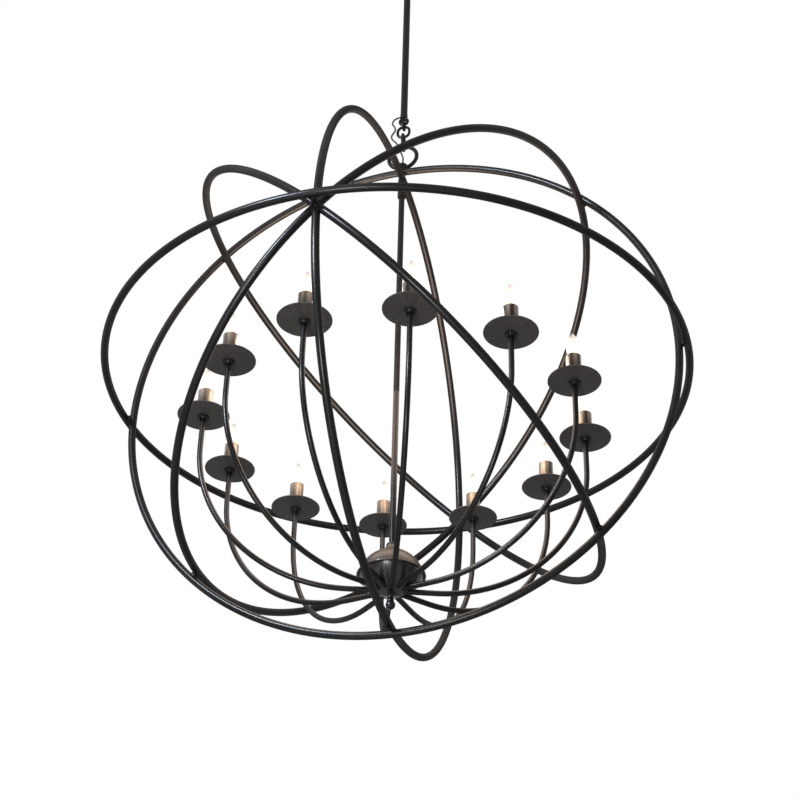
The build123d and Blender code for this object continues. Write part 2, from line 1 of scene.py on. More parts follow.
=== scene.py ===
# %% [markdown]
# A wire globe chandelier hangs in a white studio. The measured model is loaded first, as a fixed frame in
# metres, and every piece that this lesson adds is placed by that frame.

# %% Load the measured frame
import json
from math import atan2, cos, pi, radians, sin, tau

import bmesh
import bpy
from mathutils import Matrix, Vector


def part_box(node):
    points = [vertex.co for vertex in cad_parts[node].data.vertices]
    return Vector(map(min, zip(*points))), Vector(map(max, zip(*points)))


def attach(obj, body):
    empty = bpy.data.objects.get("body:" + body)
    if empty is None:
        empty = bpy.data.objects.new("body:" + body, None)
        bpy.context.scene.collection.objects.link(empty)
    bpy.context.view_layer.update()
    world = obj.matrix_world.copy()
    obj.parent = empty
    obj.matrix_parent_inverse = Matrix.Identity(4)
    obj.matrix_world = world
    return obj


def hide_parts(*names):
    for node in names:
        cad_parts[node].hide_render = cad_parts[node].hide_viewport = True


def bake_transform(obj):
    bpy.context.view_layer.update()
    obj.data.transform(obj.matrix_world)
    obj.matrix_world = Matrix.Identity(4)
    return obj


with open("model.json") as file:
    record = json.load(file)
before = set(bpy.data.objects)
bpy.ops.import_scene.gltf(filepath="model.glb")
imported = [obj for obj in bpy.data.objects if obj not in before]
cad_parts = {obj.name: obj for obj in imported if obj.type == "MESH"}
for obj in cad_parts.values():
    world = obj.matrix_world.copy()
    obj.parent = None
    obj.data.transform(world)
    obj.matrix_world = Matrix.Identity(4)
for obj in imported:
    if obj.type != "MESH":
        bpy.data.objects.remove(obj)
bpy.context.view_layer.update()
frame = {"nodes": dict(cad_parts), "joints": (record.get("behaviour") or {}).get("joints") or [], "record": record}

MM = 0.001

# %% [markdown]
# The photograph was taken from below, a little to the right of the line through the globe's two poles. The
# camera's distance, height, turn and lens were worked out from the five hoops, so the camera is placed by those
# numbers and not by eye. It looks a little past the globe's middle, because the chandelier isn't centred there.

# %% Camera
IMAGE_PX, SENSOR_MM, FOCAL_PX = 800, 36, 1775.2
GLOBE_PX = (396.6, 382.3)
AZIMUTH, ELEVATION, ROLL, DISTANCE = radians(15.85), radians(-35.68), 0.02775, 3.682
level_low, level_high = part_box("outer_hoop")
globe_centre = (level_low + level_high) / 2

back = Vector((sin(AZIMUTH) * cos(ELEVATION), -cos(AZIMUTH) * cos(ELEVATION), sin(ELEVATION)))
right = Vector((cos(AZIMUTH), sin(AZIMUTH), 0))
camera_up = back.cross(right)
pan = atan2(GLOBE_PX[0] - IMAGE_PX / 2, FOCAL_PX)
tilt = atan2(GLOBE_PX[1] - IMAGE_PX / 2, FOCAL_PX)
look = Matrix((right, camera_up, back)).transposed() @ Matrix.Rotation(ROLL, 3, "Z")
look = look @ Matrix.Rotation(pan, 3, "Y") @ Matrix.Rotation(tilt, 3, "X")

camera = bpy.data.objects.new("studio_camera", bpy.data.cameras.new("studio_camera"))
camera.data.sensor_width = SENSOR_MM
camera.data.lens = FOCAL_PX / IMAGE_PX * SENSOR_MM
camera.matrix_world = Matrix.Translation(globe_centre + DISTANCE * back) @ look.to_4x4()
bpy.context.collection.objects.link(camera)
bpy.context.scene.camera = camera
bpy.context.scene.view_settings.view_transform = "Standard"
print("camera at", [round(value, 3) for value in camera.location], "lens", round(camera.data.lens, 2), "mm")

# %% [markdown]
# Colours are written as the hex values that a paint chart gives. Blender's shaders work in linear light, so one
# function turns a hex value into linear numbers. A second small function adds a shader node, with its settings
# and the links into it, so that each finish below reads as a short list of steps.

# %% Colour and node helpers
def linear(hex_colour):
    """Linear RGBA of an sRGB hex colour."""
    shares = [int(hex_colour[i:i + 2], 16) / 255 for i in (1, 3, 5)]
    return [s / 12.92 if s <= 0.04045 else ((s + 0.055) / 1.055) ** 2.4 for s in shares] + [1.0]


def add_node(tree, kind, settings=None, links=None):
    """Add a node; settings are its properties, sockets or colour stops, links feed its sockets."""
    node = tree.nodes.new(kind)
    for name, value in (settings or {}).items():
        if name == "stops":
            stops = node.color_ramp.elements
            while len(stops) < len(value):
                stops.new(0.5)
            for stop, (where, hex_colour) in zip(stops, value):
                stop.position, stop.color = where, linear(hex_colour)
        elif isinstance(name, str) and hasattr(node, name):
            setattr(node, name, value)
        else:
            node.inputs[name].default_value = value
    for name, output in (links or {}).items():
        tree.links.new(output, node.inputs[name])
    return node


def new_finish(name):
    """An empty material with its output node."""
    finish = bpy.data.materials.new(name)
    finish.use_nodes = True
    finish.node_tree.nodes.clear()
    return finish, finish.node_tree, add_node(finish.node_tree, "ShaderNodeOutputMaterial")


print("white paper #f4f4f2 in linear light:", [round(value, 3) for value in linear("#f4f4f2")])

# %% [markdown]
# The studio is a white room. A world of one plain grey lights the object softly from all round, and rays from
# the camera, from mirrors and through glass see it as white, so the background is white without more light on
# the black metal. The pale floor lies well below, since the camera looks up.

# %% World
ROOM_LIGHT = 0.30
world = bpy.data.worlds.new("white_room")
world.use_nodes = True
room = world.node_tree
room.nodes.clear()
ray = add_node(room, "ShaderNodeLightPath")
mirror_or_glass = add_node(room, "ShaderNodeMath", {"operation": "MAXIMUM"}, {
    0: ray.outputs["Is Glossy Ray"], 1: ray.outputs["Is Transmission Ray"]})
seen = add_node(room, "ShaderNodeMath", {"operation": "MAXIMUM"}, {
    0: ray.outputs["Is Camera Ray"], 1: mirror_or_glass.outputs[0]})
soft = add_node(room, "ShaderNodeBackground", {"Color": linear("#fbfcff"), "Strength": ROOM_LIGHT})
white = add_node(room, "ShaderNodeBackground", {"Color": linear("#ffffff"), "Strength": 1.0})
both = add_node(room, "ShaderNodeMixShader", links={
    0: seen.outputs[0], 1: soft.outputs[0], 2: white.outputs[0]})
add_node(room, "ShaderNodeOutputWorld", links={"Surface": both.outputs[0]})
bpy.context.scene.world = world
print(world.name, "lights at", ROOM_LIGHT)

# %% Floor
FLOOR_Z, FLOOR_SIZE, FLOOR_GLOW = -3.8, 14.0, 0.8
floor_finish, tree, output = new_finish("matt_white_floor_paint")
ray = add_node(tree, "ShaderNodeLightPath")
paint = add_node(tree, "ShaderNodeBsdfDiffuse", {"Color": linear("#f0f0ee")})
glow = add_node(tree, "ShaderNodeEmission", {"Color": linear("#ffffff"), "Strength": 1.0})
share = add_node(tree, "ShaderNodeMath", {"operation": "MULTIPLY", 1: FLOOR_GLOW}, {
    0: ray.outputs["Is Camera Ray"]})
mixed = add_node(tree, "ShaderNodeMixShader", links={
    0: share.outputs[0], 1: paint.outputs[0], 2: glow.outputs[0]})
tree.links.new(mixed.outputs[0], output.inputs["Surface"])
bm = bmesh.new()
bmesh.ops.create_grid(bm, x_segments=1, y_segments=1, size=FLOOR_SIZE / 2,
                      matrix=Matrix.Translation((0, 0, FLOOR_Z)))
floor_mesh = bpy.data.meshes.new("studio_floor")
bm.to_mesh(floor_mesh)
bm.free()
floor_mesh.materials.append(floor_finish)
floor = bpy.data.objects.new("studio_floor", floor_mesh)
bpy.context.collection.objects.link(floor)
print("floor at", FLOOR_Z, "m")

# %% [markdown]
# Satin black tube shows its roundness only by its highlights. A soft lamp behind the camera and a little to its
# left draws the grey band along each tube. A stronger cool one at the upper left gives the bluish sheen that the
# near tubes, the bowl and the ball have in the photograph. It stands too high to light the dishes from below.

# %% Lamps
LAMP_SIZE = 0.9


def disc_lamp(name, size, watts, hex_colour, stand):
    """A round area lamp that shines down the Z axis of its stand."""
    lamp = bpy.data.lights.new(name, "AREA")
    lamp.shape, lamp.size, lamp.energy = "DISK", size, watts
    lamp.color = linear(hex_colour)[:3]
    holder = bpy.data.objects.new(name, lamp)
    holder.matrix_world = stand
    holder.visible_camera = False
    bpy.context.collection.objects.link(holder)
    print(name, "of", watts, "W at", [round(value, 2) for value in stand.translation])


def aimed_from(side, height, depth):
    """A stand aimed at the globe from metres to the camera's right, up and towards it."""
    offset = side * right + height * camera_up + depth * back
    return Matrix.Translation(globe_centre + offset) @ offset.to_track_quat("Z", "Y").to_matrix().to_4x4()


disc_lamp("left_lamp", LAMP_SIZE, 220, "#f4f3f0", aimed_from(-1.23, 0.65, 4.16))
disc_lamp("upper_left_lamp", LAMP_SIZE, 650, "#d6e3f2", aimed_from(-2.74, 2.92, 1.83))

# %% [markdown]
# Most of the chandelier is steel tube with a satin black powder coat. Powder melts into a skin with a fine orange
# peel, which spreads the highlights, and its black is never quite even. Noise in object coordinates gives both: a
# fine one for the peel and a slow one for the tone. The peel shades itself where the tube turns away from the
# eye, so the coat is made duller there, and the tube keeps the dark edges that it has in the photograph.

# %% Powder coat
PEEL_MM, PEEL_DEEP_MM, TONE_MM = 2.0, 0.15, 70.0
powder_coat, tree, output = new_finish("powder_coated_steel_satin_black")
place = add_node(tree, "ShaderNodeTexCoord").outputs["Object"]
peel = add_node(tree, "ShaderNodeTexNoise", {"Scale": 1 / (PEEL_MM * MM), "Detail": 2.0}, {"Vector": place})
bump = add_node(tree, "ShaderNodeBump", {"Strength": 0.006, "Distance": PEEL_DEEP_MM * MM}, {
    "Height": peel.outputs["Fac"]})
tone = add_node(tree, "ShaderNodeTexNoise", {"Scale": 1 / (TONE_MM * MM), "Detail": 3.0}, {"Vector": place})
black = add_node(tree, "ShaderNodeValToRGB", {"stops": [(0.3, "#080707"), (0.7, "#0f0d0d")]}, {
    "Fac": tone.outputs["Fac"]})
gloss = add_node(tree, "ShaderNodeMapRange", {"To Min": 0.24, "To Max": 0.32}, {"Value": tone.outputs["Fac"]})
facing = add_node(tree, "ShaderNodeLayerWeight", {"Blend": 0.5})
edge = add_node(tree, "ShaderNodeMapRange", {"From Min": 0.45, "From Max": 0.75, "To Max": 0.55}, {
    "Value": facing.outputs["Facing"]})
duller = add_node(tree, "ShaderNodeMath", {"operation": "ADD"}, {
    0: gloss.outputs["Result"], 1: edge.outputs["Result"]})
skin = add_node(tree, "ShaderNodeBsdfPrincipled", {"Specular IOR Level": 0.11}, {
    "Base Color": black.outputs["Color"], "Roughness": duller.outputs["Value"],
    "Normal": bump.outputs["Normal"]})
tree.links.new(skin.outputs["BSDF"], output.inputs["Surface"])
print(powder_coat.name, "with peel of", PEEL_MM, "mm")

# %% [markdown]
# Dishes, sleeves, cups and the hub's small pieces are turned round, so one helper spins a half outline about an
# upright axis. Its outlines are written in millimetres above the piece's base, as on a workshop drawing. Another
# rounds every sharp corner, and drops the faces that shrink to nothing there.

# %% Turning helpers
SEAM, SHARP = 0.001 * MM, radians(30)


def close_seams(bm):
    """Merge the points that lie together and turn the faces outwards."""
    bmesh.ops.remove_doubles(bm, verts=bm.verts, dist=SEAM)
    bmesh.ops.recalc_face_normals(bm, faces=bm.faces)


def turned(outline, base, axis=Vector(), steps=48, closed=True):
    """Spin a half outline of radii and heights above the base, in millimetres, about the upright axis."""
    bm = bmesh.new()
    points = [bm.verts.new((axis.x + radius * MM, axis.y, base + height * MM)) for radius, height in outline]
    edges = [bm.edges.new(pair) for pair in zip(points, points[1:])]
    if closed:
        edges.append(bm.edges.new((points[-1], points[0])))
    bmesh.ops.spin(bm, geom=points + edges, cent=axis, axis=(0, 0, 1), angle=tau, steps=steps, use_merge=True)
    close_seams(bm)
    return bm


def round_corners(bm, width_mm):
    """Bevel the sharp corners."""
    corners = [edge for edge in bm.edges if edge.is_manifold and edge.calc_face_angle() > SHARP]
    bmesh.ops.bevel(bm, geom=corners, offset=width_mm * MM, offset_type="OFFSET", segments=3, profile=0.5,
                    affect="EDGES", clamp_overlap=True, material=-1)
    bmesh.ops.dissolve_degenerate(bm, edges=bm.edges, dist=2 * SEAM)


print("corners sharper than", round(SHARP, 2), "radians get rounded")

# %% [markdown]
# Each candle has the same fittings, so what stands at the first candle is copied to the other eleven. On every
# point of a dish or a sleeve a helper writes its direction from its own axis, and its height. A finish can then
# run its streaks along or round the piece wherever the piece stands. The last helper makes an object of a
# finished bmesh, and says which body of the frame carries it and which measured nodes it stands for.

# %% Candle and piece helpers
ROUND = "round_axis"
candle_axes = [Vector((*joint["pos_m"][:2], 0)) for joint in frame["joints"]
               if joint["name"].startswith("bulb_")]
first_candle = candle_axes[0]


def mark_round(bm, axis, base):
    """Write each point's direction from the axis, and its height above the base."""
    layer = bm.verts.layers.float_vector.new(ROUND)
    for vert in bm.verts:
        out = Vector((vert.co.x - axis.x, vert.co.y - axis.y, 0))
        out.normalize()
        vert[layer] = (out.x, out.y, vert.co.z - base)


def twelve(bm):
    """Copy what stands at the first candle to the other eleven."""
    count = len(candle_axes)
    bmesh.ops.spin(bm, geom=bm.verts[:] + bm.edges[:] + bm.faces[:], cent=(0, 0, 0), axis=(0, 0, 1),
                   angle=tau * (count - 1) / count, steps=count - 1, use_duplicate=True)


def piece(name, bm, finish, body, slot, *nodes):
    """Make a bmesh an object that rides on a body and stands for CAD nodes."""
    mesh = bpy.data.meshes.new(name)
    for face in bm.faces:
        face.smooth = True
    bm.to_mesh(mesh)
    bm.free()
    mesh.materials.append(finish)
    made = bpy.data.objects.new(name, mesh)
    bpy.context.collection.objects.link(made)
    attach(made, body)
    if nodes:
        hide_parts(*nodes)
    print(name, "has", len(mesh.polygons), "faces")
    return made


print("candle axes:", len(candle_axes))

# %% [markdown]
# The globe is five hoops of round tube, bent in a ring roller. The measured hoops have flat facets that would
# break up the long highlights, so each is made again as a small circle spun about the globe's middle, sized by
# the measured box. The slanted hoops have the inner hoop's radius, and all three run into one another at the
# two poles.

# %% Hoops
HOOP_STEPS, TUBE_STEPS = 384, 40
SLANT = 0.5 ** 0.5
hoop_tube_r = (level_high.z - level_low.z) / 2
reach = {node: max(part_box(node)[1] - globe_centre) - hoop_tube_r
         for node in ("outer_hoop", "middle_hoop", "inner_hoop")}
hoops = [
    ("outer_hoop", reach["outer_hoop"], (0, 0, 1), (1, 0, 0)),
    ("middle_hoop", reach["middle_hoop"], (0, 1, 0), (1, 0, 0)),
    ("inner_hoop", reach["inner_hoop"], (1, 0, 0), (0, 1, 0)),
    ("left_slant_hoop", reach["inner_hoop"], (SLANT, 0, SLANT), (0, 1, 0)),
    ("right_slant_hoop", reach["inner_hoop"], (-SLANT, 0, SLANT), (0, 1, 0)),
]


def tube_ring(bm, middle, axis, start, radius, tube_r, steps, tube_steps):
    """Spin a small circle about an axis into a ring of round tube."""
    axis, start = Vector(axis), Vector(start)
    turn = Matrix((start, axis, start.cross(axis))).transposed().to_4x4()
    section = bmesh.ops.create_circle(bm, segments=tube_steps, radius=tube_r,
                                      matrix=Matrix.Translation(middle + radius * start) @ turn)["verts"]
    edges = list({edge for vert in section for edge in vert.link_edges})
    bmesh.ops.spin(bm, geom=section + edges, cent=middle, axis=axis, angle=tau, steps=steps, use_merge=True)


for node, radius, axis, start in hoops:
    bm = bmesh.new()
    tube_ring(bm, globe_centre, axis, start, radius, hoop_tube_r, HOOP_STEPS, TUBE_STEPS)
    close_seams(bm)
    piece("rolled_" + node, bm, powder_coat, "globe", "black_powder_coat", node)

# %% [markdown]
# Where two hoops cross, a short stub between them is welded to both tubes. A weld leaves a raised bead round the
# stub, so a thin ring of tube lies at each end of every stub. The one at the top is clamped and has none.

# %% Weld beads
BEAD_R, BEAD_RING_R = 1.5 * MM, 6.4 * MM
BEAD_STEPS, BEAD_TUBE_STEPS = 32, 10
crossings = [((side, 0, 0), "middle_hoop", "outer_hoop") for side in (1, -1)]
crossings += [((x, 0, z), "inner_hoop", "middle_hoop") for x, z in (
    (SLANT, SLANT), (-SLANT, SLANT), (SLANT, -SLANT), (-SLANT, -SLANT), (0, -1))]
crossings += [((0, side, 0), "inner_hoop", "outer_hoop") for side in (1, -1)]
bm = bmesh.new()
for direction, inside, outside in crossings:
    out = Vector(direction)
    across = out.orthogonal().normalized()
    for level in (reach[inside] + hoop_tube_r, reach[outside] - hoop_tube_r):
        tube_ring(bm, globe_centre + level * out, out, across, BEAD_RING_R, BEAD_R, BEAD_STEPS, BEAD_TUBE_STEPS)
close_seams(bm)
piece("weld_beads", bm, powder_coat, "globe", "black_powder_coat")

# %% [markdown]
# A drip dish is pressed from sheet steel and spun to a shallow saucer, with a rim rolled over. Spinning leaves
# faint streaks that run out from the middle, and the coat over them is a little lighter than on the tubes.

# %% Finish of the dishes
STREAKS_ROUND = 34
dish_coat, tree, output = new_finish("spun_steel_sheet_powder_coated_black")
spun = add_node(tree, "ShaderNodeAttribute", {"attribute_name": ROUND}).outputs["Vector"]
flat = add_node(tree, "ShaderNodeVectorMath", {"operation": "MULTIPLY", 1: (1, 1, 0)}, {0: spun})
streak = add_node(tree, "ShaderNodeTexNoise", {
    "Scale": STREAKS_ROUND / tau, "Detail": 4.0, "Roughness": 0.7}, {"Vector": flat.outputs["Vector"]})
grey = add_node(tree, "ShaderNodeValToRGB", {"stops": [(0.3, "#24211f"), (0.72, "#312d2a")]}, {
    "Fac": streak.outputs["Fac"]})
skin = add_node(tree, "ShaderNodeBsdfPrincipled", {"Roughness": 0.55, "Specular IOR Level": 0.15}, {
    "Base Color": grey.outputs["Color"]})
tree.links.new(skin.outputs["BSDF"], output.inputs["Surface"])
print(dish_coat.name)

# %% Drip dishes
DISH_R, HOLE_R, FLAT_R, BEND_R, BEND_RISE, SHEET, RIM = 53.0, 5.0, 30.0, 40.0, 1.1, 1.5, 1.6
dish_low, dish_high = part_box("drip_dishes")
dish_tall = (dish_high.z - dish_low.z) / MM
bm = turned([
    (HOLE_R, 0), (FLAT_R, 0), (BEND_R, BEND_RISE), (DISH_R - 2 * RIM, 2.6), (DISH_R - RIM, 2.4), (DISH_R, 2.9),
    (DISH_R, 4.6), (DISH_R - RIM, dish_tall), (DISH_R - 2.2 * RIM, 4.5), (BEND_R, BEND_RISE + SHEET),
    (FLAT_R, SHEET), (HOLE_R, SHEET)], dish_low.z, first_candle, steps=72)
round_corners(bm, 0.5)
mark_round(bm, first_candle, dish_low.z)
twelve(bm)
piece("dish_saucers", bm, dish_coat, "globe", "black_powder_coat", "drip_dishes")

# %% [markdown]
# Under each dish a small cup holds it to the arm. It is turned like a bell, wide at the dish and drawn in to a
# collar round the tube, so its outline is a few steps whose corners are rounded.

# %% Arm cups
ARM_R, CUFF_R, WAIST_R, BELL_R = 5.65, 8.2, 7.4, 12.0
cup_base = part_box("arm_cups")[0].z
cup_tall = (dish_low.z - cup_base) / MM
bm = turned([
    (ARM_R, 0), (CUFF_R, 0), (CUFF_R, 2.0), (WAIST_R, 2.8), (9.0, 5.2), (BELL_R, 6.6), (BELL_R, cup_tall),
    (ARM_R, cup_tall)], cup_base, first_candle)
round_corners(bm, 0.6)
twelve(bm)
piece("bell_cups", bm, powder_coat, "globe", "black_powder_coat", "arm_cups")

# %% [markdown]
# A candle sleeve is a short polished tube slipped over the socket, so it mirrors the lit bulbs round it. Its warm
# colour is painted light: a painted glow of the bulb, lighter towards the top and darker at the foot, with painted
# dark reflection streaks round it. Fine lines from the polishing run up the tube, and the top edge is rolled in.

# %% Finish of the sleeves
LINES_ROUND, PAINTED_STREAKS_ROUND = 60, 8
sleeve_low, sleeve_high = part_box("candle_sleeves")
sleeve_painted_glow, tree, output = new_finish("polished_brass_tube_dark_bronze_lacquer")
spun = add_node(tree, "ShaderNodeAttribute", {"attribute_name": ROUND}).outputs["Vector"]
height = add_node(tree, "ShaderNodeSeparateXYZ", links={0: spun}).outputs["Z"]
flat = add_node(tree, "ShaderNodeVectorMath", {"operation": "MULTIPLY", 1: (1, 1, 0)}, {0: spun}).outputs["Vector"]
lines = add_node(tree, "ShaderNodeTexNoise", {"Scale": LINES_ROUND / tau, "Detail": 3.0}, {"Vector": flat})
gloss = add_node(tree, "ShaderNodeMapRange", {"To Min": 0.22, "To Max": 0.36}, {"Value": lines.outputs["Fac"]})
up = add_node(tree, "ShaderNodeMapRange", {"From Max": sleeve_high.z - sleeve_low.z}, {"Value": height})
# Painted glow of the bulb: the colour is lighter towards the top of the sleeve and darker at its foot.
bronze = add_node(tree, "ShaderNodeValToRGB", {
    "stops": [(0.0, "#342f2c"), (0.55, "#5d534a"), (1.0, "#978677")]}, {"Fac": up.outputs["Result"]})
# Painted reflection: dark streaks at random places round the sleeve darken its painted glow.
painted_streaks = add_node(tree, "ShaderNodeTexNoise", {"Scale": PAINTED_STREAKS_ROUND / tau, "Detail": 2.0}, {"Vector": flat})
painted_reflection = add_node(tree, "ShaderNodeValToRGB", {"stops": [(0.38, "#4b4340"), (0.62, "#ffffff")]}, {
    "Fac": painted_streaks.outputs["Fac"]})
painted_sleeve_light = add_node(tree, "ShaderNodeMix", {"data_type": "RGBA", "blend_type": "MULTIPLY", 0: 1.0}, {
    6: bronze.outputs["Color"], 7: painted_reflection.outputs["Color"]})
skin = add_node(tree, "ShaderNodeBsdfPrincipled", {"Metallic": 0.85}, {
    "Base Color": painted_sleeve_light.outputs[2], "Roughness": gloss.outputs["Result"]})
tree.links.new(skin.outputs["BSDF"], output.inputs["Surface"])
print(sleeve_painted_glow.name)

# %% Candle sleeves
SLEEVE_R, WALL, FOOT, CURL = 15.0, 1.2, 0.5, 2.0
sleeve_tall = (sleeve_high.z - sleeve_low.z) / MM
bm = turned([
    (SLEEVE_R - WALL, 0), (SLEEVE_R + FOOT, 0), (SLEEVE_R + FOOT, 1.6), (SLEEVE_R, 2.6), (SLEEVE_R, sleeve_tall),
    (SLEEVE_R - CURL, sleeve_tall), (SLEEVE_R - CURL, sleeve_tall - 1.2), (SLEEVE_R - WALL, sleeve_tall - 1.8)],
    sleeve_low.z, first_candle)
round_corners(bm, 0.5)
mark_round(bm, first_candle, sleeve_low.z)
twelve(bm)
piece("sleeve_tubes", bm, sleeve_painted_glow, "globe", "black_powder_coat", "candle_sleeves")

# %% [markdown]
# The lamps are clear candle bulbs, and they are lit. In the photograph they are blown out to white, and only the
# drawn-out tips show. Thin glass hardly bends what is behind it, so it is made as a half see-through skin with a
# glow: over the white room it vanishes, and over a black tube it stays white. Towards the tip the glow fades.

# %% Finish of the bulb glass
TIP_FADE_MM = 26
bulb_low, bulb_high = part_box("bulb_01")
clear_glass, tree, output = new_finish("blown_clear_lamp_glass")
place = add_node(tree, "ShaderNodeTexCoord").outputs["Object"]
height = add_node(tree, "ShaderNodeSeparateXYZ", links={0: place}).outputs["Z"]
fade = add_node(tree, "ShaderNodeMapRange", {
    "From Min": bulb_high.z - TIP_FADE_MM * MM, "From Max": bulb_high.z}, {"Value": height})
warm = add_node(tree, "ShaderNodeValToRGB", {
    "stops": [(0.0, "#fff3e2"), (0.45, "#c9b8ac"), (1.0, "#857a74")]}, {"Fac": fade.outputs["Result"]})
skin = add_node(tree, "ShaderNodeBsdfPrincipled", {
    "Base Color": linear("#000000"), "Roughness": 0.06, "Alpha": 0.6, "Emission Strength": 1.6}, {
    "Emission Color": warm.outputs["Color"]})
tree.links.new(skin.outputs["BSDF"], output.inputs["Surface"])
print(clear_glass.name)

# %% [markdown]
# Inside the glass is a wire that glows, in a brass cap. Brass dulls in patches, and so do the plainer finishes
# that come later: each has two close colours in a grain of its own size. One helper makes them all, with a
# little bump where the surface is rough enough to show it.

# %% Finishes of the filament and the cap
COIL_MM = 2
filament_glow, tree, output = new_finish("glowing_tungsten_wire")
place = add_node(tree, "ShaderNodeTexCoord").outputs["Object"]
coil = add_node(tree, "ShaderNodeTexNoise", {"Scale": 1 / (COIL_MM * MM), "Detail": 1.0}, {"Vector": place})
warm = add_node(tree, "ShaderNodeValToRGB", {"stops": [(0.3, "#ffc27a"), (0.7, "#ffe2b4")]}, {
    "Fac": coil.outputs["Fac"]}).outputs["Color"]
skin = add_node(tree, "ShaderNodeBsdfPrincipled", {"Roughness": 0.5, "Emission Strength": 6.0}, {
    "Base Color": warm, "Emission Color": warm})
tree.links.new(skin.outputs["BSDF"], output.inputs["Surface"])


def grained_finish(name, dark, light, grain_mm, settings, bump=0.0):
    """A finish of two close colours in a grain of that size."""
    finish, tree, output = new_finish(name)
    place = add_node(tree, "ShaderNodeTexCoord").outputs["Object"]
    grain = add_node(tree, "ShaderNodeTexNoise", {"Scale": 1 / (grain_mm * MM), "Detail": 3.0}, {"Vector": place})
    colour = add_node(tree, "ShaderNodeValToRGB", {"stops": [(0.3, dark), (0.7, light)]}, {
        "Fac": grain.outputs["Fac"]})
    skin = add_node(tree, "ShaderNodeBsdfPrincipled", settings, {"Base Color": colour.outputs["Color"]})
    if bump:
        relief = add_node(tree, "ShaderNodeBump", {"Strength": bump, "Distance": 0.1 * MM}, {
            "Height": grain.outputs["Fac"]})
        tree.links.new(relief.outputs["Normal"], skin.inputs["Normal"])
    tree.links.new(skin.outputs["BSDF"], output.inputs["Surface"])
    print(finish.name, "with a grain of", grain_mm, "mm")
    return finish


brass = grained_finish("stamped_brass_lamp_cap", "#b58a3e", "#d9b566", 3, {"Metallic": 1.0, "Roughness": 0.3})

# %% [markdown]
# A bulb is three pieces that turn together: the blown glass, the brass screw cap below it and the wire that
# glows. The glass and the cap are spun from half outlines, and a Subdivision Surface blows the glass round. It
# also draws each ring of points inwards, so the outline starts that much wider. The wire is a hairpin, spun from
# a small circle and drawn down at both ends. It is thicker than a real one, to show.

# %% Outlines of the bulb
CAP_TALL, CREST_R, ROOT_R, THREADS, PITCH, FIRST_CREST = 18.0, 5.95, 5.35, 5, 2.4, 3.4
cap_outline = [(0, 0), (3.2, 0), (3.2, 1.4), (5.2, 2.6)]
for thread in range(THREADS):
    crest = FIRST_CREST + PITCH * thread
    cap_outline += [(CREST_R, crest), (ROOT_R, crest + PITCH / 2)]
cap_outline += [(CREST_R, CAP_TALL - 2.0), (CREST_R, CAP_TALL), (0, CAP_TALL)]

GLASS_STEPS = 24
GLASS_RADII_AND_SHARES = [
    (6.2, 0), (6.4, 0.10), (9.2, 0.24), (13.2, 0.38), (14.4, 0.49), (13.2, 0.63), (9.8, 0.78), (5.6, 0.895),
    (2.4, 0.965), (1.0, 0.992), (0, 1.0)]
glass_z = bulb_low.z + CAP_TALL * MM
glass_tall = (bulb_high.z - glass_z) / MM
widen = 6 / (4 + 2 * cos(tau / GLASS_STEPS))
glass_outline = [(radius * widen, share * glass_tall) for radius, share in GLASS_RADII_AND_SHARES]
print("bulb glass", round(glass_tall, 1), "mm tall on a cap of", CAP_TALL, "mm")

# %% Bulbs
HAIRPIN_R, WIRE_R, HAIRPIN_SHARE = 3.2 * MM, 0.6 * MM, 0.58
WIRE_STEPS, ARCH_STEPS = 8, 12
hairpin_z = glass_z + HAIRPIN_SHARE * glass_tall * MM


def hairpin(axis):
    """A wire that rises from the cap, turns over in an arch and goes down again."""
    bm = bmesh.new()
    start = bmesh.ops.create_circle(bm, segments=WIRE_STEPS, radius=WIRE_R, matrix=Matrix.Translation(
        (axis.x - HAIRPIN_R, axis.y, hairpin_z)))["verts"]
    near_rim = bm.edges[:]
    arch = bmesh.ops.spin(bm, geom=start + near_rim, cent=(axis.x, axis.y, hairpin_z), axis=(0, 1, 0), angle=pi,
                          steps=ARCH_STEPS)
    far_rim = [part for part in arch["geom_last"] if isinstance(part, bmesh.types.BMEdge)]
    for rim in (near_rim, far_rim):
        leg = bmesh.ops.extrude_edge_only(bm, edges=rim)["geom"]
        bmesh.ops.translate(bm, vec=(0, 0, glass_z - hairpin_z),
                            verts=[part for part in leg if isinstance(part, bmesh.types.BMVert)])
    bmesh.ops.holes_fill(bm, edges=bm.edges, sides=WIRE_STEPS)
    bmesh.ops.recalc_face_normals(bm, faces=bm.faces)
    return bm


for number, axis in enumerate(candle_axes, 1):
    body = f"bulb_{number:02d}"
    glass = piece(f"bulb_glass_{number:02d}", turned(glass_outline, glass_z, axis, GLASS_STEPS, closed=False),
                  clear_glass, body, "bulb_glass", body)
    blown = glass.modifiers.new("blown_round", "SUBSURF")
    blown.levels = blown.render_levels = 2
    piece(f"bulb_cap_{number:02d}", turned(cap_outline, bulb_low.z, axis, steps=32, closed=False), brass, body,
          "bulb_glass")
    piece(f"bulb_wire_{number:02d}", hairpin(axis), filament_glow, body, "bulb_glass")

# %% [markdown]
# The glowing wires are too thin to light the room in a render, and twelve small lamps would leave it grainy. Two
# round lamps, back to back in the ring of candles, stand for the light of all the bulbs. They give the sleeves,
# the dome, the rod and the inner sides of the tubes the brown sheen that the photograph shows.

# %% Warm light of the bulbs
GLOW_INSET_MM = 40
glow_size = 2 * (first_candle.length - GLOW_INSET_MM * MM)
for name, turn, watts in (("glow_downwards", 0, 10), ("glow_upwards", pi, 28)):
    disc_lamp(name, glow_size, watts, "#ffe4cc",
              Matrix.Translation((0, 0, hairpin_z)) @ Matrix.Rotation(turn, 4, "X"))

# %% [markdown]
# The hub is a bowl and a dome, spun from sheet and closed rim to rim, with a tapered neck on the rod above and a
# ball under the bowl. Balls cut by a plane give the bowl and the dome, and turned rings give the lip and the
# neck. Spinning leaves fine lines round the axis, so the bowl's coat has its bump along the height. The dome and
# the neck are seen from below at a slant, and take the duller coat of the tubes.

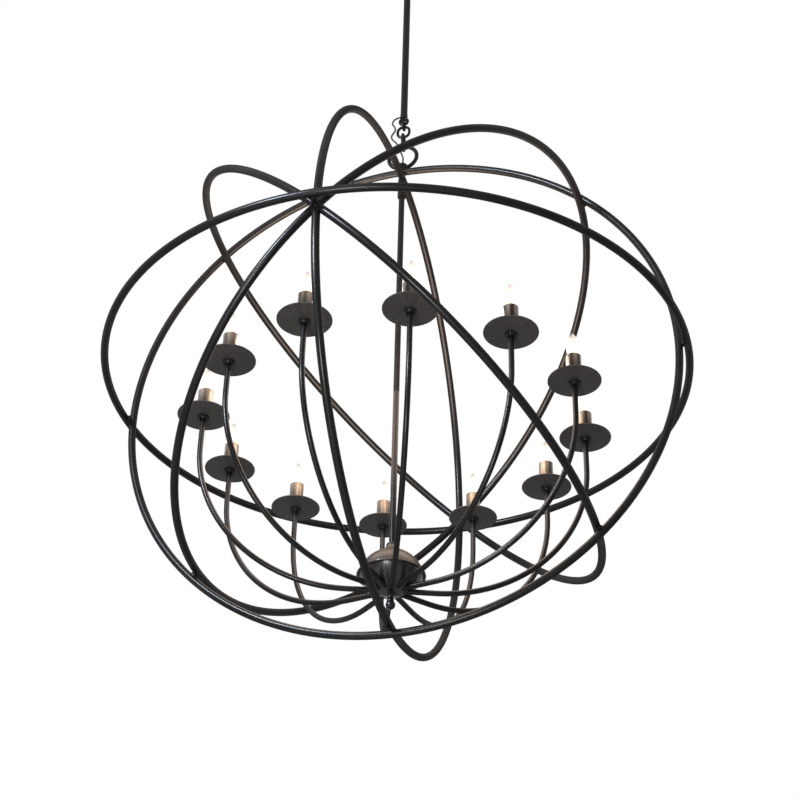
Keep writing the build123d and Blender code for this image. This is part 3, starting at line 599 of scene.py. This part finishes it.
# %% Finish of the hub
SPIN_LINE_MM, SPIN_DEEP_MM = 1.6, 0.1
hub_coat, tree, output = new_finish("spun_steel_hub_powder_coated_black")
place = add_node(tree, "ShaderNodeTexCoord").outputs["Object"]
heights = add_node(tree, "ShaderNodeVectorMath", {"operation": "MULTIPLY", 1: (0.02, 0.02, 1)}, {0: place})
lines = add_node(tree, "ShaderNodeTexNoise", {"Scale": 1 / (SPIN_LINE_MM * MM), "Detail": 2.0}, {
    "Vector": heights.outputs["Vector"]})
black = add_node(tree, "ShaderNodeValToRGB", {"stops": [(0.3, "#0f0e0d"), (0.7, "#171513")]}, {
    "Fac": lines.outputs["Fac"]})
bump = add_node(tree, "ShaderNodeBump", {"Strength": 0.15, "Distance": SPIN_DEEP_MM * MM}, {
    "Height": lines.outputs["Fac"]})
skin = add_node(tree, "ShaderNodeBsdfPrincipled", {"Specular IOR Level": 0.3, "Roughness": 0.26}, {
    "Base Color": black.outputs["Color"], "Normal": bump.outputs["Normal"]})
tree.links.new(skin.outputs["BSDF"], output.inputs["Surface"])
print(hub_coat.name)

# %% Hub bowl and dome
def cap_of_ball(rim_r, rise, up, seam_z, hole_r, wall, trim=0.0, rows=72):
    """A domed skin above the seam or below it, with a hole at its pole, trimmed back from the seam."""
    ball_r = (rim_r ** 2 + rise ** 2) / (2 * rise)
    middle = seam_z + up * (rise - ball_r)
    pole_cut = middle + up * (ball_r ** 2 - hole_r ** 2) ** 0.5
    bm = bmesh.new()
    bmesh.ops.create_uvsphere(bm, u_segments=96, v_segments=rows, radius=ball_r,
                              matrix=Matrix.Translation((0, 0, middle)))
    for level, keep_side in ((seam_z + up * trim, up), (pole_cut, -up)):
        bmesh.ops.bisect_plane(bm, geom=bm.verts[:] + bm.edges[:] + bm.faces[:], plane_co=(0, 0, level),
                               plane_no=(0, 0, keep_side), clear_inner=True)
    bmesh.ops.solidify(bm, geom=bm.faces[:], thickness=wall)
    return bm


HUB_RIM_R, HUB_WALL, SCREW_HOLE_R, ROD_HOLE_R, DOME_LAP = 63.5 * MM, 1.2 * MM, 3.0 * MM, 6.6 * MM, 0.2 * MM
bowl_low, bowl_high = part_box("hub_bowl")
seam_z = bowl_high.z
dome_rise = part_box("hub_dome")[1].z - seam_z + DOME_LAP
piece("bowl_skin", cap_of_ball(HUB_RIM_R, seam_z - bowl_low.z, -1, seam_z, SCREW_HOLE_R, HUB_WALL), hub_coat,
      "globe", "black_powder_coat", "hub_bowl")
piece("dome_skin", cap_of_ball(HUB_RIM_R, dome_rise, 1, seam_z, ROD_HOLE_R, HUB_WALL), powder_coat,
      "globe", "black_powder_coat", "hub_dome")
lip_r, lip_bore_r = bowl_high.x / MM, HUB_RIM_R / MM - 2.0
bm = turned([(lip_bore_r, -3.0), (lip_r - 1.0, -3.4), (lip_r, -2.0), (lip_r, 0), (lip_bore_r, 0)], seam_z, steps=96)
round_corners(bm, 0.9)
piece("bowl_lip", bm, hub_coat, "globe", "black_powder_coat")

# %% Hub neck
ROD_R, SKIRT_R, NECK_R = 6.45, 20.0, 11.0
neck_low, neck_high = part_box("hub_neck")
neck_tall = (neck_high.z - neck_low.z) / MM
bm = turned([
    (ROD_R, 1.0), (SKIRT_R, 0), (SKIRT_R, 2.4), (17.2, 4.2), (13.4, 0.55 * neck_tall), (NECK_R, neck_tall - 4.0),
    (11.6, neck_tall - 2.6), (NECK_R, neck_tall), (ROD_R, neck_tall)], neck_low.z, steps=64)
round_corners(bm, 0.8)
piece("neck_collar", bm, powder_coat, "globe", "black_powder_coat", "hub_neck")

# %% [markdown]
# The finial under the bowl is a turned steel ball on a short stalk. Its lacquer is glossier than the powder coat
# and only a little hazy, so the lamps show in it as small bright spots.

# %% Finial
HAZE_MM, BALL_R, STALK_R, SHOULDER_R = 6, 9.5, 6.4, 7.6
gloss_black, tree, output = new_finish("turned_steel_ball_gloss_black_lacquer")
place = add_node(tree, "ShaderNodeTexCoord").outputs["Object"]
haze = add_node(tree, "ShaderNodeTexNoise", {"Scale": 1 / (HAZE_MM * MM), "Detail": 2.0}, {"Vector": place})
black = add_node(tree, "ShaderNodeValToRGB", {"stops": [(0.3, "#0b0b0c"), (0.7, "#131314")]}, {
    "Fac": haze.outputs["Fac"]})
gloss = add_node(tree, "ShaderNodeMapRange", {"To Min": 0.16, "To Max": 0.24}, {"Value": haze.outputs["Fac"]})
skin = add_node(tree, "ShaderNodeBsdfPrincipled", {"Specular IOR Level": 0.2}, {
    "Base Color": black.outputs["Color"], "Roughness": gloss.outputs["Result"]})
tree.links.new(skin.outputs["BSDF"], output.inputs["Surface"])

ball_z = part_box("finial")[0].z + BALL_R * MM
stalk_end = (ball_z - bowl_low.z) / MM + 6.0
bm = turned([
    (0, 4.0), (SHOULDER_R, 4.0), (SHOULDER_R, -1.6), (5.6, -2.6), (5.2, -8.0), (STALK_R, -10.5),
    (STALK_R, stalk_end), (0, stalk_end)], bowl_low.z)
round_corners(bm, 0.7)
bmesh.ops.create_uvsphere(bm, u_segments=48, v_segments=32, radius=BALL_R * MM,
                          matrix=Matrix.Translation((0, 0, ball_z)))
piece("finial_ball", bm, gloss_black, "globe", "black_powder_coat", "finial")

# %% [markdown]
# The canopy is a spun cover against the ceiling, with a bead round its edge. It is a ball cut by two planes, like
# the bowl, and it stops just short of the ceiling so that its wall's thickness stays below it. The ring under it
# screws up to hold it, and is knurled so that fingers can turn it.

# %% Canopy
COVER_WALL, COVER_TRIM, COLLAR_GAP, COVER_ROWS = 1.4 * MM, 1.2 * MM, 0.3 * MM, 96
EDGE_BEAD_R, EDGE_STEPS, EDGE_TUBE_STEPS = 1.6 * MM, 128, 12
canopy_low, canopy_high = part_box("canopy")
collar_low, collar_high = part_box("screw_collar")
collar_r = (collar_high.x - collar_low.x) / 2 + COLLAR_GAP
cover_r, cover_tall = canopy_high.x, canopy_high.z - canopy_low.z
bm = cap_of_ball(cover_r, cover_tall, -1, canopy_high.z, collar_r, COVER_WALL, COVER_TRIM, COVER_ROWS)
piece("canopy_cover", bm, hub_coat, "canopy", "black_powder_coat", "canopy")

bm = bmesh.new()
tube_ring(bm, Vector((0, 0, canopy_high.z - EDGE_BEAD_R)), (0, 0, 1), (1, 0, 0), cover_r - EDGE_BEAD_R,
          EDGE_BEAD_R, EDGE_STEPS, EDGE_TUBE_STEPS)
close_seams(bm)
piece("canopy_edge_bead", bm, hub_coat, "canopy", "black_powder_coat")

# %% Canopy ring
KNURLS, KNURL_DEEP = 48, 0.5 * MM
ring_low, ring_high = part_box("canopy_ring")
ring_r, ring_tall, bore_r = ring_high.x / MM, (ring_high.z - ring_low.z) / MM, collar_r / MM
bm = turned([
    (bore_r, 0), (ring_r - 2.5, 0), (ring_r, 2.0), (ring_r, ring_tall - 1.5), (ring_r - 1.2, ring_tall),
    (bore_r, ring_tall)], ring_low.z, steps=2 * KNURLS)
for vert in bm.verts:
    out = vert.co.xy.length
    every_other = round(atan2(vert.co.y, vert.co.x) / tau * 2 * KNURLS) % 2
    if every_other and out > (ring_r - 0.1) * MM:
        vert.co.xy *= 1 - KNURL_DEEP / out
piece("knurled_ring", bm, powder_coat, "canopy_ring", "black_powder_coat", "canopy_ring")

# %% [markdown]
# The supply cord leaves the eye's neck, hangs slack beside the chain and goes into the loop's boss. It is one
# limp cord, made as four tubes that follow one after the other, one stretch for each joint of the chain. A
# quadratic NURBS line touches the middle of each run of its points, so two stretches that are cut in the middle of
# a run meet without a kink. The points repeat the measured route, in millimetres: across, along and down from the
# hole in the eye's neck. Each stretch also lists two bend heights, written the same way.

# %% Supply cord
CORD_D, EXIT_Z, CORD_STEPS, CORD_ROUND = 4 * MM, -0.505783, 16, 4
cord_skin = grained_finish("extruded_soft_vinyl_cord_black", "#121212", "#1d1d1d", 4,
                           {"Roughness": 0.42, "Specular IOR Level": 0.25})
stretches = [
    ("supply_cord_at_eye", "ceiling_mount", "upper_link", 2, 16,
     [(-2.3, 0, 0), (-14, 0, 0), (-24, -3.5, 9.5), (-24.75, -5.75, 17.75)]),
    ("supply_cord_at_upper_link", "upper_link", "middle_link", 20, 55,
     [(-24.75, -5.75, 17.75), (-25.5, -8, 26), (-17, -9.5, 39.5), (-17, -10, 51.5), (-21.5, -10.25, 57.75)]),
    ("supply_cord_at_middle_link", "middle_link", "lower_link", 60, 91,
     [(-21.5, -10.25, 57.75), (-26, -10.5, 64), (-24, -11, 77), (-14.5, -11, 87.5), (-11.75, -11, 93.5)]),
    ("supply_cord_at_loop", "lower_link", "globe", 96, 140,
     [(-11.75, -11, 93.5), (-9, -11, 99.5), (-7, -10.5, 111.2), (-1, -7, 122.2), (1.5, -2, 132.7),
      (0, 0, 143.2), (0, 0, 152.383)]),
]
for node, above, below, bend_start, bend_end, route in stretches:
    line = bpy.data.curves.new(node + "_line", "CURVE")
    line.dimensions = "3D"
    line.resolution_u = CORD_STEPS
    spline = line.splines.new("NURBS")
    spline.points.add(len(route) - 1)
    for point, (x, y, drop) in zip(spline.points, route):
        point.co = (x * MM, y * MM, EXIT_Z - drop * MM, 1)
    spline.order_u = 3
    spline.use_endpoint_u = True
    guide = bpy.data.objects.new(node + "_line", line)
    bpy.context.collection.objects.link(guide)
    path = [vert.co.copy() for vert in bpy.data.meshes.new_from_object(guide).vertices]
    line.bevel_depth, line.bevel_resolution, line.use_fill_caps = CORD_D / 2, CORD_ROUND, True
    tube = bpy.data.meshes.new_from_object(guide.evaluated_get(bpy.context.evaluated_depsgraph_get()))
    bpy.data.objects.remove(guide)
    tube.materials.clear()
    tube.materials.append(cord_skin)
    cord = bpy.data.objects.new("slack_" + node, tube)
    bpy.context.collection.objects.link(cord)
    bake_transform(cord)
    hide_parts(node)

# %% [markdown]
# What is left of the measured model keeps its shape and only gets a finish: the tubes and links take the powder
# coat, and the small fittings that hardly show take zinc, moulded resin and plastic.

# %% Finishes of the small fittings
RELIEF = 0.1
zinc = grained_finish("bright_zinc_plated_steel", "#9a9c9b", "#b9bbb8", 5,
                      {"Metallic": 1.0, "Roughness": 0.32}, RELIEF)
resin = grained_finish("moulded_phenolic_resin_dark", "#17130f", "#241d17", 4, {"Roughness": 0.4}, RELIEF)
connector = grained_finish("moulded_nylon_orange", "#a9480f", "#bd5518", 5, {"Roughness": 0.45}, RELIEF)
by_slot = {"black_powder_coat": powder_coat, "zinc_steel": zinc, "bulb_glass": clear_glass, "socket_resin": resin,
           "connector_plastic": connector, "cord_insulation": cord_skin}
for subpart in frame["record"]["subparts"]:
    node = frame["nodes"][subpart["node"]]
    node.data.materials.clear()
    node.data.materials.append(by_slot[subpart["material_slot"]])
print("finished", len(frame["nodes"]), "measured nodes")
